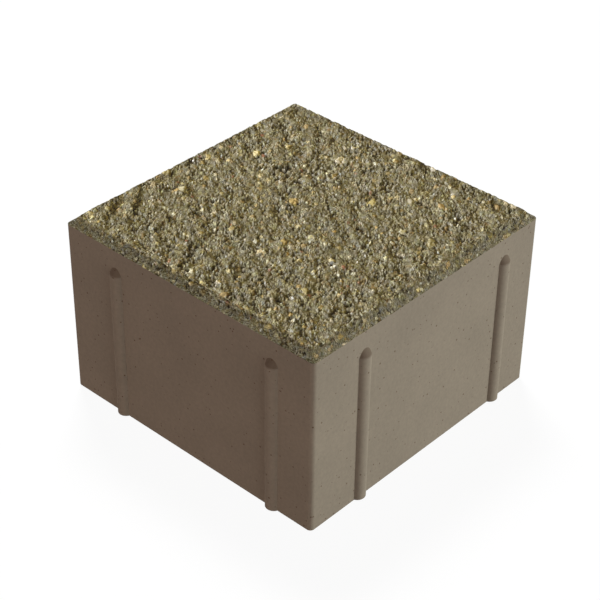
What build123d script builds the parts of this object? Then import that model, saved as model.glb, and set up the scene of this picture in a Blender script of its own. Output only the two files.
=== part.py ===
from build123d import *

import os

# Square concrete paver, pressed in a mould: slightly rounded upright corners, a chamfer round the wearing face,
# and on each side two half-round spacer ribs that hold the joint to the next paver open.
# Sizes are in millimetres. The origin is the middle of the bedding face, and +Z points to the wearing face.

# Body, measured on the smooth sides without the ribs
BODY_SIDE = 95.0
HEIGHT = 60.0
CORNER_RADIUS = 1.4

# Chamfer round the wearing face, in plan and down the side
CHAMFER_WIDTH = 2.5
CHAMFER_HEIGHT = 2.6
FACE_CORNER_RADIUS = 0.8

# Spacer ribs: width on the side, projection from it, the height at which the sloping end meets the side,
# and the height of that slope
RIB_WIDTH = 4.6
RIB_PROJECTION = 1.5
RIB_TOP = 51.7
RIB_SLOPE = 2.2

# Rib places: mean distance from a corner, and how far apart two facing ribs pass each other
RIB_INSET = 17.5
RIB_STAGGER = 5.5

SIDES = 4


def body():
    """Rounded square block whose top closes in to the wearing face along a flat chamfer."""
    shoulder = HEIGHT - CHAMFER_HEIGHT
    face_side = BODY_SIDE - 2 * CHAMFER_WIDTH
    plan = RectangleRounded(BODY_SIDE, BODY_SIDE, CORNER_RADIUS)
    wearing_face = RectangleRounded(face_side, face_side, FACE_CORNER_RADIUS)
    block = extrude(plan, shoulder)
    chamfer_band = loft([Pos(0, 0, shoulder) * plan, Pos(0, 0, HEIGHT) * wearing_face], ruled=True)
    return block + chamfer_band


def spacer_rib():
    """Half-round rib, its middle on the line x = 0 of the side that faces -Y.

    Its end keeps the round section and slopes back into the side, where it fades out in a round arch.
    The slope runs on a little inside the block.
    """
    half_width = RIB_WIDTH / 2
    radius = (half_width**2 + RIB_PROJECTION**2) / (2 * RIB_PROJECTION)
    axis_y = radius - RIB_PROJECTION - BODY_SIDE / 2
    shoulder_z = RIB_TOP - RIB_SLOPE
    lean = Vector(0, RIB_PROJECTION, RIB_SLOPE)
    section = Circle(radius)
    shank = extrude(section, shoulder_z)
    end = extrude(Pos(0, 0, shoulder_z) * section, 1.3 * lean.length, dir=lean.normalized())
    return Pos(0, axis_y, 0) * (shank + end)


def paver():
    """The block with its ribs, which sit nearer the corner that follows than the one that leads.

    The uneven places repeat on each side, so the ribs of two pavers laid side by side pass each other.
    """
    lead = RIB_INSET + RIB_STAGGER / 2 - BODY_SIDE / 2
    follow = BODY_SIDE / 2 - RIB_INSET + RIB_STAGGER / 2
    rib = spacer_rib()
    block = body()
    for side in range(SIDES):
        turn = Rot(0, 0, side * 360 / SIDES)
        block += turn * Pos(lead, 0, 0) * rib
        block += turn * Pos(follow, 0, 0) * rib
    return block


piece = paver().solid()
piece.label = "paver"

os.makedirs("parts", exist_ok=True)
export_step(piece, "parts/paver.step")
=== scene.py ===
"""Square concrete paver with moulded sides and an exposed-aggregate wearing face, over its CAD frame."""

import math

import bpy
import numpy as np
from mathutils import Matrix, Vector
from mathutils.geometry import delaunay_2d_cdt


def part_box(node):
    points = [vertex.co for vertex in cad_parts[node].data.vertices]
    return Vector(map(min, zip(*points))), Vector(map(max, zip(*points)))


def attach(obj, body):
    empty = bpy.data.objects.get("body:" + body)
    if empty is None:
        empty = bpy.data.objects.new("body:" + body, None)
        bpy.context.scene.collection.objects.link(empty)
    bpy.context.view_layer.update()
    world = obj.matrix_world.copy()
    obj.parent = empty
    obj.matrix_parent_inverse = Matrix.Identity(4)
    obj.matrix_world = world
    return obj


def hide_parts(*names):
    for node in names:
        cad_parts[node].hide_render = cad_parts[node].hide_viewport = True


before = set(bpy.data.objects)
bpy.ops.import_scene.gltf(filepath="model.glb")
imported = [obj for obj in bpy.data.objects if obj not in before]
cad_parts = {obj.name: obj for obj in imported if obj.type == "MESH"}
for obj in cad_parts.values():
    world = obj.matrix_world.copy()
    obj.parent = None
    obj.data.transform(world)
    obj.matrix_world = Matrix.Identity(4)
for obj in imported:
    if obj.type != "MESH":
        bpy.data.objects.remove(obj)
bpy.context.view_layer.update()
PAVER_LOW, PAVER_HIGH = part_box("paver")

bl_info = {
    "name": "Concrete Paver",
    "version": (1, 0, 0),
    "blender": (4, 5, 0),
    "location": "View3D > Sidebar > Paver",
    "description": "Builds a concrete paver with spacer ribs and an exposed-aggregate wearing face",
    "category": "Object",
}

MM = 0.001
SIDES = 4
ROOT_HALF = math.sqrt(0.5)


def linear(code):
    """An sRGB hex colour as linear red, green and blue."""
    parts = [int(code[i : i + 2], 16) / 255 for i in (0, 2, 4)]
    return tuple(c / 12.92 if c <= 0.04045 else ((c + 0.055) / 1.055) ** 2.4 for c in parts)


class PaverSizes(bpy.types.PropertyGroup):
    """Sizes of the moulded body and its ribs."""

    projection: bpy.props.FloatProperty(
        name="Rib projection",
        description="How far a spacer rib stands out of the side",
        default=1.5 * MM,
        unit="LENGTH",
    )
    rib_width: bpy.props.FloatProperty(
        name="Rib width",
        description="Width of a spacer rib where it meets the side",
        default=4.6 * MM,
        unit="LENGTH",
    )
    rib_top: bpy.props.FloatProperty(
        name="Rib top",
        description="Height at which the sloping end of a rib meets the side",
        default=51.7 * MM,
        unit="LENGTH",
    )
    rib_slope: bpy.props.FloatProperty(
        name="Rib slope",
        description="Height of the sloping end of a rib",
        default=2.2 * MM,
        unit="LENGTH",
    )
    rib_lead: bpy.props.FloatProperty(
        name="Leading rib",
        description="Distance of a side's first rib from the corner at its left, seen from outside",
        default=20.25 * MM,
        unit="LENGTH",
    )
    rib_follow: bpy.props.FloatProperty(
        name="Following rib",
        description="Distance of a side's second rib from the corner at its right, seen from outside",
        default=14.75 * MM,
        unit="LENGTH",
    )
    corner_radius: bpy.props.FloatProperty(
        name="Corner radius",
        description="Radius of the upright corners",
        default=1.4 * MM,
        unit="LENGTH",
    )
    chamfer_width: bpy.props.FloatProperty(
        name="Chamfer width",
        description="Width of the chamfer round the wearing face, seen from above",
        default=2.5 * MM,
        unit="LENGTH",
    )
    chamfer_height: bpy.props.FloatProperty(
        name="Chamfer height",
        description="Height of the chamfer round the wearing face",
        default=2.6 * MM,
        unit="LENGTH",
    )
    face_radius: bpy.props.FloatProperty(
        name="Face corner radius",
        description="Corner radius of the wearing face inside the chamfer",
        default=0.8 * MM,
        unit="LENGTH",
    )


class WearingFace(bpy.types.PropertyGroup):
    """Relief and colours of the exposed-aggregate face."""

    seed: bpy.props.IntProperty(
        name="Seed",
        description="Another number gives another scatter of grains",
        default=7,
    )
    straight_cells: bpy.props.IntProperty(
        name="Cells along a side",
        description="Mesh cells along a side of the wearing face inside the chamfer",
        default=268,
    )
    relief: bpy.props.FloatProperty(
        name="Relief",
        description="Scale of the broken surface's height, where 1 is freshly split and less is blasted",
        default=0.75,
        subtype="FACTOR",
    )
    # Strength of the painted one-sided light and shade on the grains
    painted_light_strength: bpy.props.FloatProperty(
        name="Blasting",
        description="How much lighter the blasted side of the grains is than the side behind it",
        default=1.6,
        subtype="FACTOR",
    )
    stretch: bpy.props.FloatProperty(
        name="Stretch",
        description="How much longer the grains are along one diagonal than across it",
        default=1.35,
    )
    ledge_stretch: bpy.props.FloatProperty(
        name="Ledge stretch",
        description="How much longer the ledges are along that diagonal than across it",
        default=2.3,
    )
    cement: bpy.props.FloatVectorProperty(
        name="Cement",
        description="Colour of the olive cement and sand between the grains",
        subtype="COLOR",
        default=linear("8A8062"),
    )


class SideFinish(bpy.types.PropertyGroup):
    """Colours of the moulded sides."""

    skin: bpy.props.FloatVectorProperty(
        name="Skin",
        description="Colour of the smooth cement skin on the sides",
        subtype="COLOR",
        default=linear("857869"),
    )
    # Colour of the painted shade inside the pores and on faces that look up
    pore_and_cap_shade: bpy.props.FloatVectorProperty(
        name="Pore",
        description="Colour inside the small air pores",
        subtype="COLOR",
        default=linear("5A4535"),
    )


class Stage(bpy.types.PropertyGroup):
    """Camera and lamps."""

    camera_place: bpy.props.FloatVectorProperty(
        name="Camera place",
        description="Where the camera stands",
        subtype="XYZ",
        unit="LENGTH",
        default=(-310.68 * MM, -282.35 * MM, 329.9 * MM),
    )
    heading: bpy.props.FloatProperty(
        name="Heading",
        description="Compass direction of the view, from +Y towards +X",
        subtype="ANGLE",
        default=math.radians(47.654),
    )
    tilt: bpy.props.FloatProperty(
        name="Tilt",
        description="How far the camera looks down",
        subtype="ANGLE",
        default=math.radians(35.576),
    )
    roll: bpy.props.FloatProperty(
        name="Roll",
        description="Turn of the camera about its line of sight",
        subtype="ANGLE",
        default=math.radians(0.747),
    )
    lens: bpy.props.FloatProperty(
        name="Lens",
        description="Focal length in millimetres on a 36 mm sensor",
        default=105.54,
    )


def scene_settings(name):
    """The property group of this name on the current scene."""
    return getattr(bpy.context.scene, name)


def add_node(tree, kind, inputs=None, **settings):
    """Adds a node, sets its properties, and fills or links its input sockets."""
    made = tree.nodes.new(kind)
    for name, value in settings.items():
        setattr(made, name, value)
    for key, value in (inputs or {}).items():
        if isinstance(value, bpy.types.NodeSocket):
            tree.links.new(value, made.inputs[key])
        else:
            made.inputs[key].default_value = value
    return made


def new_material(name):
    """An empty node material."""
    material = bpy.data.materials.new(name)
    material.use_nodes = True
    material.node_tree.nodes.clear()
    return material


def per_mm(size):
    """Texture scale at which one cell of a pattern in object metres is this many millimetres wide."""
    return 1 / (size * MM)


# Relief of the wearing face, in millimetres on a plan grid


def inside_distance(x, y, half, radius):
    """Distance from a rounded square's outline, negative inside it."""
    qx = np.abs(x) - (half - radius)
    qy = np.abs(y) - (half - radius)
    return np.minimum(np.maximum(qx, qy), 0) + np.hypot(np.maximum(qx, 0), np.maximum(qy, 0)) - radius


def band_noise(rng, count, step, wavelength, longer=1.0, spread=0.45):
    """Smooth random field of unit spread, with lumps about one wavelength apart, longer on the diagonal."""
    white = np.fft.rfft2(rng.standard_normal((count, count)))
    fx = np.fft.fftfreq(count, step)[:, None]
    fy = np.fft.rfftfreq(count, step)[None, :]
    turns = np.hypot(fx - fy, (fx + fy) * longer) * ROOT_HALF
    octaves = np.log(np.maximum(turns, 1e-6) * wavelength)
    field = np.fft.irfft2(white * np.exp(-((octaves / spread) ** 2)), s=(count, count))
    return field / field.std()


def smoothed(field, step, size):
    """The field with everything finer than this size in mm levelled out."""
    fx = np.fft.fftfreq(field.shape[0], step)[:, None]
    fy = np.fft.rfftfreq(field.shape[1], step)[None, :]
    return np.fft.irfft2(np.fft.rfft2(field) * np.exp(-(fx**2 + fy**2) * size**2), s=field.shape)


def jittered_cells(rng, x, y, pitch, jitter=0.9):
    """Voronoi cells of a jittered lattice.

    Gives the cell number, the offset from its seed, the gap to the second seed and the number of cells.
    """
    reach = int(math.ceil(np.abs(x).max() / pitch)) + 3
    wide = 2 * reach + 1
    seeds = rng.uniform(-0.5, 0.5, (2, wide, wide)) * jitter
    column = np.floor(x / pitch).astype(int) + reach
    row = np.floor(y / pitch).astype(int) + reach
    first = np.full(x.shape, 1e9)
    second = np.full(x.shape, 1e9)
    number = np.zeros(x.shape, int)
    off_x = np.zeros(x.shape)
    off_y = np.zeros(x.shape)
    for i in (-1, 0, 1):
        for j in (-1, 0, 1):
            c = np.clip(column + i, 0, wide - 1)
            r = np.clip(row + j, 0, wide - 1)
            dx = x - (c - reach + 0.5 + seeds[0, c, r]) * pitch
            dy = y - (r - reach + 0.5 + seeds[1, c, r]) * pitch
            gap = np.hypot(dx, dy)
            nearer = gap < first
            second = np.where(nearer, first, np.minimum(second, gap))
            first = np.where(nearer, gap, first)
            number = np.where(nearer, c * wide + r, number)
            off_x = np.where(nearer, dx, off_x)
            off_y = np.where(nearer, dy, off_y)
    return number, off_x, off_y, second - first, wide * wide


def broken_plates(rng, x, y, pitch, step, slope):
    """Surface broken into small tilted plates: its height, the plate's number and the gap to the next."""
    number, dx, dy, gap, count = jittered_cells(rng, x, y, pitch)
    level = rng.normal(0, step, count)[number]
    lean_x = rng.normal(0, slope, count)[number]
    lean_y = rng.normal(0, slope, count)[number]
    return level + lean_x * dx + lean_y * dy, number, gap


def stones(rng, x, y, pitch, share, radius, faces=6):
    """Many-sided stones scattered on a lattice.

    Gives the cell number, a gauge that is below 1 inside a stone, the offset from its middle and the number
    of cells.
    """
    number, dx, dy, _, count = jittered_cells(rng, x, y, pitch)
    size = rng.uniform(radius[0], radius[1], count)
    turn = rng.uniform(0, 2 * math.pi, count)
    gauge = np.zeros(x.shape)
    for k in range(faces):
        angle = (turn + 2 * math.pi * k / faces + rng.normal(0, 0.25, count))[number]
        reach = (size * rng.uniform(0.72, 1.15, count))[number]
        gauge = np.maximum(gauge, (dx * np.cos(angle) + dy * np.sin(angle)) / reach)
    present = rng.random(count) < share
    return number, np.where(present[number], gauge, 9.0), dx, dy, count


def ramp(value, low, high):
    """Smooth step from 0 at low to 1 at high; low may lie above high."""
    t = np.clip((value - low) / (high - low), 0, 1)
    return t * t * (3 - 2 * t)


# Grain colours with their shares: quartz, flint and feldspar sand, and the river gravel in it
SAND_TONES = (
    ("8A8061", 0.42),
    ("776D4F", 0.22),
    ("9C926F", 0.18),
    ("62583B", 0.06),
    ("B5AA85", 0.08),
    ("8B7243", 0.04),
)
GRIT_TONES = (
    ("948A68", 0.36),
    ("7E7455", 0.18),
    ("C9BD94", 0.21),
    ("B0955A", 0.09),
    ("D8CFB0", 0.11),
    ("675A3A", 0.04),
    ("8E6444", 0.03),
    ("A07A5C", 0.03),
)
GRAVEL_TONES = (
    ("AC9460", 0.26),
    ("C8B684", 0.30),
    ("D6C9A0", 0.12),
    ("8F8566", 0.18),
    ("7F744F", 0.12),
)


def pick_tones(rng, tones, count, spread, drift):
    """One colour a grain, drawn from the tones by share, then made a little lighter, rustier or greyer."""
    table = np.array([linear(code) for code, share in tones])
    shares = np.array([share for code, share in tones])
    chosen = rng.choice(len(tones), count, p=shares / shares.sum())
    rust = rng.normal(0, 0.3 * drift, count)
    grey = rng.normal(0, drift, count)
    shift = np.stack([rust, np.zeros(count), np.minimum(grey, drift) - 1.5 * rust], 1)
    return table[chosen] * np.exp(rng.normal(0, spread, count)[:, None] + shift)


def with_painted_shade(colour, shade):
    """The colour under painted light or shade, where the painted shade is browner and the painted light
    greyer.
    """
    tint = np.where(shade[..., None] < 1, (0.84, 1.0, 2.0), (0.92, 1.0, 1.25))
    return colour * shade[..., None] ** tint


def diagonal_places(x, y, past, down, stretch):
    """Places across and along a diagonal of the face, for a pattern that is this much longer along it.

    past holds the outward direction and the distance past the face's edge in plan. There the pattern goes
    by the way down the chamfer, and is as long as wide.
    """
    out_x, out_y, gone = past
    longer = down * (stretch + 1 / stretch) / 2 - gone
    shorter = down * (stretch - 1 / stretch) / 2
    flat_x = x + out_x * longer + out_y * shorter
    flat_y = y + out_y * longer + out_x * shorter
    return (flat_x - flat_y) * ROOT_HALF, (flat_x + flat_y) * ROOT_HALF / stretch


# Broken surface: distance between its plates and difference of their levels, in mm, and how steep they are
LEDGES = (3.6, 0.155, 0.05)
CHIPS = (1.5, 0.055, 0.11)
SAND = (0.8, 0.07, 0.28)

# Edges of the ledges: how far they wander across and along the diagonal, and distance between waves, in mm
WANDER = (0.5, 0.4)
WANDER_PITCH = 2.5

# Swell under the plates: height and distance from crest to crest in mm, and how much longer on the diagonal
SWELL = ((0.20, 8.0, 1.2), (0.08, 4.6, 1.5))

# Crevices: share of the ledges that have them, depth, and where they start and end beside the next ledge
CREVICE_SHARE = 0.45
CREVICE_DEPTH = 0.8
CREVICE_EDGE = (0.8, 0.1)

# Bare sand: its mean share and how much that varies, the least of it, and the distance in mm between bare
# places with how much longer they are on the diagonal
BARE = (0.75, 0.4)
BARE_LEAST = 0.15
BARE_PLACES = (4.5, 1.3)

# Sand grains: depth and width in mm of the joints between them, how much their colours differ in lightness
# and in hue, and the share of cement in their colour
SAND_JOINT = (0.06, 0.16)
SAND_VARIETY = (0.14, 0.17)
CEMENT_SHARE = 0.3

# Pits where grains were lost: distance apart, share of the places that have one, radius, depth, and the
# share of the radius that is as deep
PITS = (3.0, 0.25, (0.40, 0.95))
PIT_DEPTH = (0.2, 0.5)
PIT_FLOOR = 0.35

# Stones: distance apart, share of the places that hold one, radius, rise over the sand, and colours.
# Grit of about one millimetre comes first, then gravel of one to two and of two to four.
STONES = (
    (1.9, 0.38, (0.34, 0.65), (0.10, 0.34), GRIT_TONES),
    (3.8, 0.40, (0.55, 1.05), (0.14, 0.40), GRAVEL_TONES),
    (9.0, 0.35, (1.10, 1.70), (0.16, 0.36), GRAVEL_TONES),
)

# How steeply a stone leans, how deep its foot is set in mm, the share of its radius that is its flat crown,
# how much it follows the ledge below, how much stones differ in lightness and in hue, and the radius in mm
# up to which one is as rough as sand
STONE_LEAN = 0.16
STONE_FOOT = 0.25
STONE_CROWN = 0.55
STONE_FOLLOWS = 0.6
STONE_VARIETY = (0.12, 0.10)
ROUGH_RADIUS = 0.3

# Share of the wearing face that lies below the plane of its highest grains
BELOW_TOP = 0.998

# Painted one-sided light and shade: the direction in plan along which a rising surface is painted lit, the
# slope at which a side is mostly painted lit or mostly painted shaded, and the exponents by which these
# sides get lighter and darker
PAINTED_LIGHT_FACING = (math.cos(math.radians(-22)), math.sin(math.radians(-22)))
STEEP = 0.8
PAINTED_LIGHTER, PAINTED_DARKER = 0.62, 1.15

# Painted shadow behind a rise: how steeply the painted light comes down over it, how many cells of the mesh
# it may be long, the depth in mm at which it is full, and how much darker it is then
PAINTED_SHADOW_SLOPE = 0.5
PAINTED_SHADOW_CELLS = 7
PAINTED_SHADOW_DEPTH = 0.16
PAINTED_SHADOW_DARKER = 0.56

# Painted shade in the hollows: width in mm up to which a dip is one, level in mm from first to full shade,
# and how dark it is
HOLLOW_WIDTH = 4.8
HOLLOW_DEPTH = (-0.15, -0.6)
HOLLOW_PAINTED_SHADE = 0.9

# The chamfer mask: share of the painted one-sided light and shade that it misses, width in mm of the knobs
# that get painted light on top and painted shade round them there, the exponent for a knob's rise in mm,
# its limits, and how much smoother the sand is there, by weaker painted light and shade on its fine grains
CHAMFER_WEAKER_PAINT = 0.8
KNOB_WIDTH = 1.2
KNOB_PAINTED_LIGHT = 3.0
KNOB_LIMITS = (-0.9, 0.4)
CHAMFER_WEAKER_SAND_PAINT = 0.65


def painted_light_and_shade(height, lines, chamfer_mask, painted_light_strength):
    """How light each place is painted: painted light on the side of each grain that faces one way in plan,
    painted shade on the other.

    Painted shadows fall behind each rise along the diagonal, and painted shade lies in the hollows. Under
    the chamfer mask the one-sided paint is weaker, and knobs get painted light on top and painted shade all
    round.
    """
    step = np.ptp(lines) / (len(lines) - 1)
    rise_x, rise_y = np.gradient(height, lines, lines)
    # Painted light on one side of each grain and painted shade on the other
    facing = np.tanh((rise_x * PAINTED_LIGHT_FACING[0] + rise_y * PAINTED_LIGHT_FACING[1]) / STEEP) * (1 - CHAMFER_WEAKER_PAINT * chamfer_mask)
    shade = np.exp(painted_light_strength * np.where(facing > 0, PAINTED_LIGHTER * facing, PAINTED_DARKER * facing))
    # Painted shadow cast behind each rise along the diagonal
    painted_shadow = np.zeros(height.shape)
    for cells in range(1, PAINTED_SHADOW_CELLS + 1):
        before = np.roll(height, (cells, -cells), (0, 1))
        painted_shadow = np.maximum(painted_shadow, before - height - PAINTED_SHADOW_SLOPE * cells * step * math.sqrt(2))
    shade = shade * (1 - PAINTED_SHADOW_DARKER * ramp(painted_shadow, 0.0, PAINTED_SHADOW_DEPTH) * (1 - chamfer_mask))
    # Painted shade in the hollows
    hollow = height - smoothed(height, step, HOLLOW_WIDTH)
    shade = shade * (1 - HOLLOW_PAINTED_SHADE * ramp(hollow, *HOLLOW_DEPTH))
    # Painted light on top of knobs and painted shade round them, under the chamfer mask
    knob = height - smoothed(height, step, KNOB_WIDTH)
    return shade * np.exp(chamfer_mask * np.clip(KNOB_PAINTED_LIGHT * knob, *KNOB_LIMITS))


def wearing_relief(settings, places, ledge_places, lines, chamfer_mask):
    """Height in mm below the highest grain, and colour, at each place of the pattern; lines are the grid's.

    The colour is linear, with painted light and shade in it, and its fourth part is 1 on bare sand and less
    where cement covers it or on a stone, which are smoother; it sets how strong the shader's painted light
    and shade on the fine sand is. Under the chamfer mask the painted light and shade are weaker.
    """
    rng = np.random.default_rng(settings.seed)
    count = len(lines)
    step = np.ptp(lines) / (count - 1)
    x, y = places
    warp_x = ledge_places[0] + WANDER[0] * band_noise(rng, count, step, WANDER_PITCH)
    warp_y = ledge_places[1] + WANDER[1] * band_noise(rng, count, step, WANDER_PITCH)
    swell = sum(rise * band_noise(rng, count, step, apart, longer) for rise, apart, longer in SWELL)
    ledges, number, gap = broken_plates(rng, warp_x, warp_y, *LEDGES)
    cracked = (rng.random(number.max() + 1) < CREVICE_SHARE)[number]
    ledges = ledges - CREVICE_DEPTH * cracked * ramp(gap, *CREVICE_EDGE)
    chips = broken_plates(rng, warp_x, warp_y, *CHIPS)[0]
    # Sand, less of it where cement still covers it
    sandy = np.clip(BARE[0] + BARE[1] * band_noise(rng, count, step, *BARE_PLACES), BARE_LEAST, 1.0)
    sand, number, gap = broken_plates(rng, x, y, *SAND)
    joint_depth, joint_width = SAND_JOINT
    height = swell + ledges + chips + sandy * (sand - joint_depth * ramp(gap, joint_width, 0.0))
    tones = pick_tones(rng, SAND_TONES, number.max() + 1, *SAND_VARIETY)
    colour = CEMENT_SHARE * np.array(settings.cement) + (1 - CEMENT_SHARE) * tones[number]
    number, gauge, _, _, total = stones(rng, x, y, *PITS)
    depth = rng.uniform(*PIT_DEPTH, total)[number]
    height = height - depth * ramp(gauge, 1.0, PIT_FLOOR)
    for pitch, share, radius, rise, kinds in STONES:
        number, gauge, dx, dy, total = stones(rng, x, y, pitch, share, radius)
        lift = rng.uniform(*rise, total)[number]
        lean = rng.normal(0, STONE_LEAN, (2, total))
        body = swell + STONE_FOLLOWS * ledges + lift + lean[0][number] * dx + lean[1][number] * dy
        body = body - (lift + STONE_FOOT) * (1 - ramp(gauge, 1.0, STONE_CROWN))
        proud = (gauge < 1) & (body > height)
        tones = pick_tones(rng, kinds, total, *STONE_VARIETY)
        height = np.where(proud, body, height)
        colour = np.where(proud[..., None], tones[number], colour)
        sandy = np.where(proud, min(ROUGH_RADIUS / radius[1], 1.0), sandy)
    height = height - np.quantile(height, BELOW_TOP)
    # The grains' colour takes the painted light and shade
    shade = painted_light_and_shade(height, lines, chamfer_mask, settings.painted_light_strength)
    colour = np.dstack([with_painted_shade(colour, shade), sandy * (1 - CHAMFER_WEAKER_SAND_PAINT * chamfer_mask)])
    return settings.relief * np.minimum(height, 0), colour


def rounded_grid(lines, half, radius):
    """Plan grid whose square corners are drawn in to rounded ones."""
    x, y = np.meshgrid(lines, lines, indexing="ij")
    core = half - radius
    px = np.maximum(np.abs(x) - core, 0)
    py = np.maximum(np.abs(y) - core, 0)
    far = np.hypot(px, py)
    scale = np.where(far > 0, np.maximum(px, py) / np.where(far > 0, far, 1), 1)
    corner = (px > 0) & (py > 0)
    x = np.where(corner, np.sign(x) * (core + px * scale), x)
    y = np.where(corner, np.sign(y) * (core + py * scale), y)
    return x, y


class Shell:
    """Vertices and faces in millimetres, where a point that comes twice is kept once."""

    def __init__(self, points):
        self.points = [tuple(p) for p in points]
        self.known = {}
        self.faces = []
        self.finish = []
        self.smooth = []

    def remember(self, index):
        """Lets later points join this one."""
        self.known[tuple(round(c, 4) for c in self.points[index])] = index

    def point(self, co):
        """Index of the point at these coordinates."""
        key = tuple(round(c, 4) for c in co)
        if key not in self.known:
            self.known[key] = len(self.points)
            self.points.append(tuple(co))
        return self.known[key]

    def face(self, corners, finish, smooth):
        """Adds one face."""
        self.faces.append(tuple(int(c) for c in corners))
        self.finish.append(finish)
        self.smooth.append(smooth)

    def sheet(self, rows, finish, smooth):
        """Quads over rows of indices, seen with the rows going up and each row going right."""
        for low, high in zip(rows, rows[1:]):
            for k in range(len(low) - 1):
                corners = dict.fromkeys((low[k], low[k + 1], high[k + 1], high[k]))
                self.face(corners, finish, smooth)

    def fill(self, loop, flat, extra, finish, flip=False):
        """Triangles over a flat loop and extra points in it; flat gives a point's place in the plane."""
        used = list(loop) + list(extra)
        places = [Vector(flat(self.points[k])) for k in used]
        found = delaunay_2d_cdt(places, [], [list(range(len(loop)))], 1, 1e-6)
        for tri in found[2]:
            corners = [used[found[3][k][0]] for k in tri]
            self.face(corners[::-1] if flip else corners, finish, False)


# The paver's two finishes, in the order of their materials
MOULDED, EXPOSED = 0, 1

# Mesh cells across half a rounded corner and across the chamfer beside it, and up the corners
CORNER_CELLS = 6
CHAMFER_CELLS = 5
STOREYS = 10

# Mesh cells across half a rib, up it and over its sloping end, and the mm below that end in which it bends
RIB_CELLS = 10
RIB_STOREYS = 11
RIB_END_CELLS = 6
RIB_BEND = 0.9

# Distances between points inside the sides, along their foot and inside the bedding face, in mm, and how
# far they keep from the first edge, from the last edge and from a rib
SIDE_PITCH = 4.0
FOOT_PITCH = 5.0
BEDDING_PITCH = 6.0
KEEP_START = 3
KEEP_END = 2
KEEP_RIB = 1.5

# Bites along the chamfer's upper edge: distance apart and reach in mm, and how strong a wave starts one
BITE_PITCH = 2.4
BITE_REACH = 0.45
BITE_START = 0.3

# Chamfer: how much smaller its grains are, the share of the relief that it keeps, and the mm in which the
# relief fades out at its foot, grows to all of it on the face beside it, and turns upright there
CHAMFER_GRAIN = 1.3
CHAMFER_RELIEF = 0.25
FOOT_FADE = 0.8
FACE_FADE = 3.0
LEAN_FADE = 0.6

# Chamfer mask, where shade is painted and the painted one-sided light and shade are weaker: where it starts
# and is full, in mm past the face's edge, how much that line waves, and how much darker red, green and blue
# are painted in it
CHAMFER_MASK_EDGE = (-0.4, 0.8)
CHAMFER_MASK_WAVE = 0.4
CHAMFER_PAINTED_SHADE = (0.33, 0.29, 0.23, 0.0)

# Painted shade on the two edges that face +X and -Y: how much darker red, green and blue are on their
# chamfers, where a darker band comes and goes in mm past the face's edge, and how much darker red, green
# and blue are in it
EDGE_PAINTED_SHADE = (0.0, 0.07, 0.07, 0.0)
BAND_COMES = (-3.5, -1.0)
BAND_GOES = (1.3, 0.4)
BAND_PAINTED_SHADE = (0.13, 0.14, 0.15, 0.0)


def turned(co, side):
    """A point of the side that faces -Y, turned about Z to another side."""
    x, y, z = co
    for quarter in range(side):
        x, y = -y, x
    return x, y, z


def rib_rows(shell, side, middle, half, sizes):
    """Shank and sloping end of one rib.

    Gives its outline up one edge, over the end and down the other, and its lowest row.
    """
    wide = sizes.rib_width / MM / 2
    proud = sizes.projection / MM
    slope = sizes.rib_slope / MM
    shoulder = sizes.rib_top / MM - slope
    radius = (wide**2 + proud**2) / (2 * proud)
    spread = math.asin(min(wide / radius, 1))
    across = [radius * math.sin(spread * k / RIB_CELLS) for k in range(-RIB_CELLS, RIB_CELLS + 1)]
    across[0], across[-1] = -wide, wide
    stand = [max(math.sqrt(max(radius**2 - dx**2, 0)) - radius + proud, 0.0) for dx in across]
    stand[0] = stand[-1] = 0.0

    def on_rib(k, out, z):
        return shell.point(turned((middle + across[k], -half - out, z), side))

    every = range(len(across))
    heights = [shoulder * level / RIB_STOREYS for level in range(RIB_STOREYS)]
    heights += [shoulder - RIB_BEND, shoulder]
    rows = [[on_rib(k, stand[k], height) for k in every] for height in heights]
    shell.sheet(rows, MOULDED, True)
    end = []
    for part in range(RIB_END_CELLS + 1):
        left = 1 - part / RIB_END_CELLS
        rise = slope / proud * (1 - left)
        end.append([on_rib(k, stand[k] * left, shoulder + rise * stand[k]) for k in every])
    shell.sheet(end, MOULDED, True)
    outline = [row[0] for row in rows[:-1]] + end[-1] + [row[-1] for row in rows[-2::-1]]
    return outline, rows[0]


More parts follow.
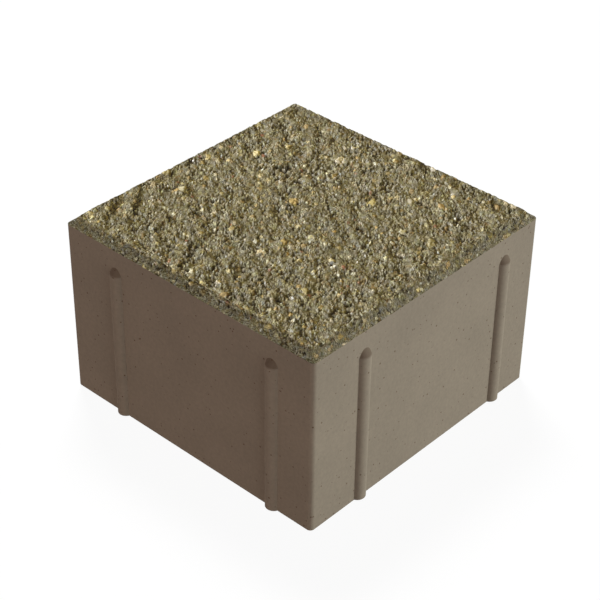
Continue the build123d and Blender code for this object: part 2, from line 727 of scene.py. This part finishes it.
def wearing_sheet(sizes, face, half, high):
    """Wearing face and chamfer on a plan grid: points in mm, linear colours, and places of the pattern."""
    radius = sizes.corner_radius / MM
    core = half - radius
    width = sizes.chamfer_width / MM
    drop = sizes.chamfer_height / MM
    tall = math.hypot(width, drop)
    inner = half - width
    chamfer_lines = np.linspace(inner, core, CHAMFER_CELLS + 1)[1:]
    outer = np.concatenate([chamfer_lines, np.linspace(core, half, CORNER_CELLS + 1)[1:]])
    lines = np.concatenate([-outer[::-1], np.linspace(-inner, inner, face.straight_cells + 1), outer])
    x, y = rounded_grid(lines, half, radius)
    out = -inside_distance(x, y, half, radius)
    into = inside_distance(x, y, inner, sizes.face_radius / MM)
    gone = np.maximum(into, 0)
    side_x = np.sign(x) * np.clip((np.abs(x) - np.abs(y)) / 2 + 0.5, 0, 1)
    side_y = np.sign(y) * np.clip((np.abs(y) - np.abs(x)) / 2 + 0.5, 0, 1)
    # Small bites along the upper edge of the chamfer, where grains broke out
    rng = np.random.default_rng(face.seed + 1)
    bites = band_noise(rng, len(lines), 2 * half / len(lines), BITE_PITCH)
    bitten = into + BITE_REACH * np.maximum(bites - BITE_START, 0)
    slope = np.where(bitten > 0, bitten / np.maximum(bitten + np.maximum(out, 0), 1e-9), 0)
    # The grains lie longer along one diagonal of the face, and run on smaller and round over the chamfer
    down = CHAMFER_GRAIN * gone * tall / width
    past = (side_x, side_y, gone)
    grain_places = diagonal_places(x, y, past, down, face.stretch)
    ledge_places = diagonal_places(x, y, past, down, face.ledge_stretch)
    unfolded = lines + np.sign(lines) * np.maximum(np.abs(lines) - inner, 0) * (tall / width - 1)
    # Mask of the chamfer up to a wavy line near its upper edge, where shade is painted and the one-sided
    # paint is weaker
    chamfer_mask = ramp(into + CHAMFER_MASK_WAVE * bites, *CHAMFER_MASK_EDGE)
    relief, colour = wearing_relief(face, grain_places, ledge_places, unfolded, chamfer_mask)
    # Painted shade on the chamfer
    colour = colour * (1 - chamfer_mask[..., None] * CHAMFER_PAINTED_SHADE)
    # Painted shade on the two edges that face +X and -Y: browner on their chamfers, and darker in a band
    # from a few mm inside the face to the top of the chamfer
    behind = np.clip(side_x - side_y, 0, 1)
    colour = colour * (1 - (behind * chamfer_mask)[..., None] * EDGE_PAINTED_SHADE)
    band = behind * ramp(into, *BAND_COMES) * ramp(into, *BAND_GOES)
    colour = colour * (1 - band[..., None] * BAND_PAINTED_SHADE)
    # The chamfer keeps part of the relief, square to its slope, and the edges stay nearly straight
    on_chamfer = CHAMFER_RELIEF * ramp(out, 0.0, FOOT_FADE)
    on_face = CHAMFER_RELIEF + (1 - CHAMFER_RELIEF) * ramp(-into, 0.0, FACE_FADE)
    sunk = np.where(into > 0, on_chamfer, on_face) * relief
    lean = np.where(into > 0, 1.0, ramp(-into, LEAN_FADE, 0.0))
    x = x + sunk * lean * drop / tall * side_x
    y = y + sunk * lean * drop / tall * side_y
    z = high - drop * slope + sunk * (1 - lean + lean * width / tall)
    return np.dstack([x, y, z]), colour, np.dstack([*grain_places, np.zeros(x.shape)])


def corner_levels(shell, strip):
    """Rows of points from the floor up to this strip of a corner's upper edge, with faces between them."""
    levels = []
    for storey in range(STOREYS):
        tops = [shell.points[k] for k in strip]
        levels.append([shell.point((x, y, z * storey / STOREYS)) for x, y, z in tops])
    levels.append(strip)
    shell.sheet(levels, MOULDED, True)
    return levels


def side_wall(shell, side, row, half, sizes):
    """One side below its upper edge: half a corner at each end, two ribs and the flat wall round them.

    Gives the points along its foot.
    """
    core = half - sizes.corner_radius / MM
    half_rib = sizes.rib_width / MM / 2
    lead = sizes.rib_lead / MM - half
    follow = half - sizes.rib_follow / MM
    first = corner_levels(shell, row[: CORNER_CELLS + 1])
    second = corner_levels(shell, row[-CORNER_CELLS - 1 :])
    spans = []
    edge = -core
    for middle in (lead, follow):
        outline, base = rib_rows(shell, side, middle, half, sizes)
        spans.append((edge, middle - half_rib, outline, base))
        edge = middle + half_rib
    spans.append((edge, core, [], []))
    loop = []
    foot = list(first[0])
    for start, end, outline, base in spans:
        parts = max(int(round((end - start) / FOOT_PITCH)), 1)
        for k in range(1, parts):
            mark = shell.point(turned((start + (end - start) * k / parts, -half, 0.0), side))
            loop.append(mark)
            foot.append(mark)
        loop += outline
        foot += base
    loop += [level[0] for level in second]
    loop += row[-CORNER_CELLS - 2 : CORNER_CELLS : -1]
    loop += [level[-1] for level in first][::-1]
    foot += second[0][:-1]
    shoulder = PAVER_HIGH.z / MM - sizes.chamfer_height / MM
    extra = []
    for across in np.arange(-core + KEEP_START, core - KEEP_END, SIDE_PITCH):
        near_rib = min(abs(across - lead), abs(across - follow)) < half_rib + KEEP_RIB
        for up in np.arange(SIDE_PITCH, shoulder - KEEP_END, SIDE_PITCH):
            if not (near_rib and up < sizes.rib_top / MM + KEEP_RIB):
                extra.append(shell.point(turned((across, -half, up), side)))
    axis = turned((1, 0, 0), side)
    shell.fill(loop, lambda p: (p[0] * axis[0] + p[1] * axis[1], p[2]), extra, MOULDED)
    return foot


def paver_shell(sizes, face):
    """The whole paver as one closed shell.

    With it come the colour and the pattern place of each point of the wearing face, and the points of its
    rim, which is a crisp edge.
    """
    half = round((PAVER_HIGH.x - PAVER_LOW.x) / 2 / MM - sizes.projection / MM, 2)
    points, colour, pattern = wearing_sheet(sizes, face, half, PAVER_HIGH.z / MM)
    shell = Shell(points.reshape(-1, 3))
    number = np.arange(len(shell.points)).reshape(points.shape[:2])
    quads = np.stack([number[:-1, :-1], number[1:, :-1], number[1:, 1:], number[:-1, 1:]], -1)
    quads = quads.reshape(-1, 4)
    shell.faces = [tuple(q) for q in quads.tolist()]
    shell.finish = [EXPOSED] * len(quads)
    shell.smooth = [True] * len(quads)
    rims = [rim.tolist() for rim in (number[:, 0], number[-1, :], number[::-1, -1], number[0, ::-1])]
    crisp = {index for rim in rims for index in rim}
    for rim in rims:
        for index in rim:
            shell.remember(index)
    ground = []
    for side in range(SIDES):
        ground += side_wall(shell, side, rims[side], half, sizes)
    core = half - sizes.corner_radius / MM
    spots = np.arange(-core + KEEP_START, core - KEEP_END, BEDDING_PITCH)
    extra = [shell.point((across, along, 0.0)) for across in spots for along in spots]
    shell.fill(ground, lambda p: (p[0], p[1]), extra, MOULDED, flip=True)
    return shell, colour.reshape(-1, 4), pattern.reshape(-1, 3), crisp


# Materials


def moulded_concrete(finish):
    """Pressed concrete against a steel mould.

    The cement skin is close and matt, a warm brown grey with faint clouds. It is dotted with air pores up
    to a little over half a millimetre wide, painted dark inside as shade, and faces that look up, such as
    the sloping ends of the ribs, get painted shade.
    """
    material = new_material("moulded_concrete_skin")
    tree = material.node_tree
    place = add_node(tree, "ShaderNodeTexCoord").outputs["Object"]
    clouds = add_node(
        tree, "ShaderNodeTexNoise", {"Vector": place, "Scale": per_mm(22), "Detail": 3.0, "Roughness": 0.55}
    )
    grain = add_node(
        tree, "ShaderNodeTexNoise", {"Vector": place, "Scale": per_mm(1.1), "Detail": 2.0, "Roughness": 0.6}
    )
    cloud_tone = add_node(
        tree,
        "ShaderNodeMapRange",
        {"Value": clouds.outputs["Fac"], "From Min": 0.3, "From Max": 0.7, "To Min": 0.94, "To Max": 1.06},
    )
    grain_tone = add_node(
        tree,
        "ShaderNodeMapRange",
        {"Value": grain.outputs["Fac"], "From Min": 0.25, "From Max": 0.75, "To Min": 0.93, "To Max": 1.07},
    )
    tone = add_node(
        tree,
        "ShaderNodeMath",
        {0: cloud_tone.outputs["Result"], 1: grain_tone.outputs["Result"]},
        operation="MULTIPLY",
    )
    skin = add_node(
        tree,
        "ShaderNodeMix",
        {"Factor": 1.0, "A": (*finish.skin, 1.0), "B": tone.outputs[0]},
        data_type="RGBA",
        blend_type="MULTIPLY",
    )
    # Painted shade on faces that look up, such as the sloping ends of the ribs, darker the more they face
    # up
    facing = add_node(tree, "ShaderNodeNewGeometry").outputs["Normal"]
    upward = add_node(tree, "ShaderNodeSeparateXYZ", {0: facing})
    cap_shade = add_node(
        tree,
        "ShaderNodeMapRange",
        {"Value": upward.outputs["Z"], "From Min": 0.1, "From Max": 0.45, "To Min": 0.0, "To Max": 0.6},
    )
    cap_shaded = add_node(
        tree,
        "ShaderNodeMix",
        {"Factor": cap_shade.outputs["Result"], "A": skin.outputs["Result"], "B": (*finish.pore_and_cap_shade, 1.0)},
        data_type="RGBA",
    )
    # One pore a cell, where a random number for the cell sets its radius, and many are too small to see;
    # the inside of each is painted shade
    pores = add_node(
        tree,
        "ShaderNodeTexVoronoi",
        {"Vector": place, "Scale": per_mm(1.5), "Randomness": 1.0},
        feature="F1",
    )
    chance = add_node(tree, "ShaderNodeTexWhiteNoise", {"Vector": pores.outputs["Color"]})
    radius = add_node(
        tree,
        "ShaderNodeMapRange",
        {"Value": chance.outputs["Value"], "To Min": -0.08, "To Max": 0.21},
    )
    inside = add_node(
        tree,
        "ShaderNodeMath",
        {0: radius.outputs["Result"], 1: pores.outputs["Distance"]},
        operation="SUBTRACT",
    )
    hole = add_node(
        tree,
        "ShaderNodeMapRange",
        {"Value": inside.outputs[0], "From Min": -0.04, "From Max": 0.08, "To Min": 0.0, "To Max": 0.9},
        interpolation_type="SMOOTHSTEP",
    )
    # Painted shade inside the pores
    colour = add_node(
        tree,
        "ShaderNodeMix",
        {"Factor": hole.outputs["Result"], "A": cap_shaded.outputs["Result"], "B": (*finish.pore_and_cap_shade, 1.0)},
        data_type="RGBA",
    )
    height = add_node(
        tree,
        "ShaderNodeMath",
        {0: hole.outputs["Result"], 1: -1.0, 2: grain.outputs["Fac"]},
        operation="MULTIPLY_ADD",
    )
    bump = add_node(
        tree, "ShaderNodeBump", {"Height": height.outputs[0], "Strength": 0.35, "Distance": 0.12 * MM}
    )
    shader = add_node(
        tree,
        "ShaderNodeBsdfPrincipled",
        {
            "Base Color": colour.outputs["Result"],
            "Roughness": 0.86,
            "IOR": 1.5,
            "Specular IOR Level": 0.25,
            "Normal": bump.outputs["Normal"],
        },
    )
    add_node(tree, "ShaderNodeOutputMaterial", {"Surface": shader.outputs[0]})
    return material


# Fine sand: width of a grain, how far apart its painted lit side and its painted shaded side are taken,
# both in mm, and the way from one to the other in the pattern's places
FINE_SAND = 0.52
SAND_REACH = 0.21
SAND_WAY = (0.988, 0.116)


def exposed_concrete():
    """Concrete whose cement skin was broken and washed away.

    Each grain keeps its own colour, quartz cream to rust, and the sand between them is rough and dull.
    Painted light lies on one side of each grain and painted shade on the other, with painted shadows behind
    them.
    """
    material = new_material("exposed_aggregate_concrete")
    tree = material.node_tree
    tint = add_node(tree, "ShaderNodeAttribute", attribute_name="grain_colour_painted_light")
    place = add_node(tree, "ShaderNodeAttribute", attribute_name="grain_place")
    # Rounded sand grains, and the same a little further on: what rises between the two is painted lit, what
    # falls painted shaded
    sand = []
    for reach in (0.0, SAND_REACH * MM):
        moved = add_node(
            tree,
            "ShaderNodeVectorMath",
            {0: place.outputs["Vector"], 1: (SAND_WAY[0] * reach, SAND_WAY[1] * reach, 0.0)},
            operation="ADD",
        )
        sand.append(
            add_node(
                tree,
                "ShaderNodeTexVoronoi",
                {"Vector": moved.outputs[0], "Scale": per_mm(FINE_SAND), "Randomness": 1.0},
                voronoi_dimensions="2D",
                feature="F1",
            )
        )
    rise = add_node(
        tree,
        "ShaderNodeMath",
        {0: sand[0].outputs["Distance"], 1: sand[1].outputs["Distance"]},
        operation="SUBTRACT",
    )
    lit_side = add_node(
        tree,
        "ShaderNodeMapRange",
        {"Value": rise.outputs[0], "From Min": -0.35, "From Max": 0.35, "To Min": 0.0, "To Max": 1.0},
    )
    # Painted shade on the falling side of each sand grain, painted light on the rising side
    tone = add_node(
        tree,
        "ShaderNodeMix",
        {"Factor": lit_side.outputs["Result"], "A": (0.34, 0.30, 0.20, 1.0), "B": (1.68, 1.73, 1.83, 1.0)},
        data_type="RGBA",
    )
    colour = add_node(
        tree,
        "ShaderNodeMix",
        {"Factor": tint.outputs["Alpha"], "A": tint.outputs["Color"], "B": tone.outputs["Result"]},
        data_type="RGBA",
        blend_type="MULTIPLY",
    )
    bump = add_node(
        tree,
        "ShaderNodeBump",
        {"Height": sand[0].outputs["Distance"], "Strength": 1.0, "Distance": 0.3 * MM},
        invert=True,
    )
    shader = add_node(
        tree,
        "ShaderNodeBsdfPrincipled",
        {
            "Base Color": colour.outputs["Result"],
            "Roughness": 0.88,
            "IOR": 1.5,
            "Specular IOR Level": 0.25,
            "Normal": bump.outputs["Normal"],
        },
    )
    add_node(tree, "ShaderNodeOutputMaterial", {"Surface": shader.outputs[0]})
    return material


class PAVER_OT_block(bpy.types.Operator):
    """Builds the paver: moulded sides with ribs, bedding face and rough wearing face in one closed mesh"""

    bl_idname = "paver.block"
    bl_label = "Build Paver"

    def execute(self, context):
        face = scene_settings("paver_face")
        finish = scene_settings("paver_finish")
        shell, colour, pattern, crisp = paver_shell(scene_settings("paver_sizes"), face)
        mesh = bpy.data.meshes.new("paver_block")
        points = (np.array(shell.points) * MM).tolist()
        mesh.from_pydata(points, [], shell.faces)
        if mesh.validate():
            raise RuntimeError("the paver's mesh had faulty faces")
        mesh.materials.append(moulded_concrete(finish))
        mesh.materials.append(exposed_concrete())
        mesh.polygons.foreach_set("material_index", shell.finish)
        mesh.polygons.foreach_set("use_smooth", shell.smooth)
        ends = np.empty(len(mesh.edges) * 2, int)
        mesh.edges.foreach_get("vertices", ends)
        on_edge = np.isin(ends.reshape(-1, 2), list(crisp)).all(1)
        sharp = mesh.attributes.new("sharp_edge", "BOOLEAN", "EDGE")
        sharp.data.foreach_set("value", on_edge)
        tints = np.ones((len(points), 4))
        tints[:, :3] = finish.skin
        tints[: len(colour)] = colour
        # The grains' colours carry the painted light and shade
        grain = mesh.color_attributes.new("grain_colour_painted_light", "FLOAT_COLOR", "POINT")
        grain.data.foreach_set("color", tints.ravel())
        places = np.zeros((len(points), 3))
        places[: len(pattern)] = pattern * MM
        spot = mesh.attributes.new("grain_place", "FLOAT_VECTOR", "POINT")
        spot.data.foreach_set("vector", places.ravel())
        mesh.update()
        block = bpy.data.objects.new("paver_block", mesh)
        context.scene.collection.objects.link(block)
        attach(block, "root")
        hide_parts("paver")
        return {"FINISHED"}


def looking_rays(tree):
    """Rays that look at the floor or the world directly, in a mirror or through glass."""
    path = add_node(tree, "ShaderNodeLightPath").outputs
    seen = path["Is Camera Ray"]
    for kind in ("Is Glossy Ray", "Is Transmission Ray"):
        seen = add_node(tree, "ShaderNodeMath", {0: seen, 1: path[kind]}, operation="MAXIMUM").outputs[0]
    return seen


# Lamps: name, place and size in metres, watts and colour. The key comes from behind over the wearing face,
# and low strips light the sides and stay under that face.
LAMPS = (
    ("key_softbox", (0.42, 0.54, 1.15), (0.35, 0.35), 15.3, (1.0, 1.0, 1.0)),
    ("right_strip", (1.3, -1.5, 0.03), (0.6, 0.05), 33.3, (0.905, 1.0, 0.98)),
    ("front_strip", (-0.3, -1.15, 0.03), (0.5, 0.05), 3.9, (1.0, 0.98, 0.96)),
    ("left_strip", (-1.0, 0.22, 0.03), (1.2, 0.05), 3.52, (1.0, 0.79, 0.695)),
)
AIM = Vector((0, 0, 0.03))


def softbox(name, place, size, watts, colour):
    """Lamp of this width and height that faces the middle of the paver from its place."""
    lamp = bpy.data.lights.new(name, "AREA")
    lamp.shape = "RECTANGLE"
    lamp.size, lamp.size_y = size
    lamp.energy = watts
    lamp.color = colour
    stand = bpy.data.objects.new(name, lamp)
    stand.location = place
    stand.visible_camera = False
    stand.rotation_euler = (Vector(place) - AIM).to_track_quat("Z", "Y").to_euler()
    bpy.context.scene.collection.objects.link(stand)


class PAVER_OT_stage(bpy.types.Operator):
    """Sets the pale floor, the lamps and the camera"""

    bl_idname = "paver.stage"
    bl_label = "Set Stage"

    def execute(self, context):
        scene = context.scene
        settings = scene_settings("paver_stage")
        scene.view_settings.view_transform = "Standard"
        mesh = bpy.data.meshes.new("floor")
        reach = 3.0
        below = -0.05 * MM
        corners = [(-reach, -reach), (reach, -reach), (reach, reach), (-reach, reach)]
        mesh.from_pydata([(x, y, below) for x, y in corners], [], [(0, 1, 2, 3)])
        floor = bpy.data.objects.new("floor", mesh)
        scene.collection.objects.link(floor)
        paper = new_material("white_paper_floor")
        tree = paper.node_tree
        # White to the eye, with a faint shadow, while little of its light goes back to the paver
        faint = add_node(tree, "ShaderNodeBsdfDiffuse", {"Color": (0.08, 0.08, 0.08, 1.0)})
        white = add_node(tree, "ShaderNodeMath", {0: looking_rays(tree), 1: 0.94}, operation="MULTIPLY")
        glow = add_node(tree, "ShaderNodeEmission", {"Strength": white.outputs[0]})
        seen = add_node(tree, "ShaderNodeAddShader", {0: faint.outputs[0], 1: glow.outputs[0]})
        add_node(tree, "ShaderNodeOutputMaterial", {"Surface": seen.outputs[0]})
        mesh.materials.append(paper)
        world = bpy.data.worlds.new("studio")
        world.use_nodes = True
        sky = world.node_tree
        sky.nodes.clear()
        dim = add_node(sky, "ShaderNodeBackground", {"Color": (1.0, 1.0, 1.0, 1.0), "Strength": 0.12})
        white = add_node(sky, "ShaderNodeBackground", {"Color": (1.0, 1.0, 1.0, 1.0), "Strength": 1.0})
        mix = add_node(
            sky, "ShaderNodeMixShader", {0: looking_rays(sky), 1: dim.outputs[0], 2: white.outputs[0]}
        )
        add_node(sky, "ShaderNodeOutputWorld", {"Surface": mix.outputs[0]})
        scene.world = world
        for lamp in LAMPS:
            softbox(*lamp)
        lens = bpy.data.cameras.new("camera")
        lens.sensor_width = 36.0
        lens.lens = settings.lens
        lens.clip_start = 0.01
        camera = bpy.data.objects.new("camera", lens)
        heading, tilt, roll = settings.heading, settings.tilt, settings.roll
        level = math.cos(tilt)
        ahead = Vector((level * math.sin(heading), level * math.cos(heading), -math.sin(tilt)))
        right = ahead.cross(Vector((0, 0, 1))).normalized()
        up = right.cross(ahead)
        right, up = (
            right * math.cos(roll) + up * math.sin(roll),
            up * math.cos(roll) - right * math.sin(roll),
        )
        turn = Matrix((right, up, -ahead)).transposed().to_4x4()
        camera.matrix_world = Matrix.Translation(settings.camera_place) @ turn
        scene.collection.objects.link(camera)
        scene.camera = camera
        return {"FINISHED"}


class PAVER_PT_sidebar(bpy.types.Panel):
    """Lists the paver's settings and its build steps"""

    bl_idname = "PAVER_PT_sidebar"
    bl_label = "Concrete Paver"
    bl_space_type = "VIEW_3D"
    bl_region_type = "UI"
    bl_category = "Paver"

    def draw(self, context):
        column = self.layout.column()
        for name in GROUPS:
            settings = getattr(context.scene, name)
            for key in settings.__annotations__:
                column.prop(settings, key)
        column.operator(PAVER_OT_block.bl_idname)
        column.operator(PAVER_OT_stage.bl_idname)


GROUPS = {
    "paver_sizes": PaverSizes,
    "paver_face": WearingFace,
    "paver_finish": SideFinish,
    "paver_stage": Stage,
}
CLASSES = (*GROUPS.values(), PAVER_OT_block, PAVER_OT_stage, PAVER_PT_sidebar)


def register():
    for cls in CLASSES:
        bpy.utils.register_class(cls)
    for name, group in GROUPS.items():
        setattr(bpy.types.Scene, name, bpy.props.PointerProperty(type=group))


def unregister():
    for name in GROUPS:
        delattr(bpy.types.Scene, name)
    for cls in reversed(CLASSES):
        bpy.utils.unregister_class(cls)


def main():
    register()
    bpy.ops.paver.block()
    bpy.ops.paver.stage()


if __name__ == "__main__":
    main()
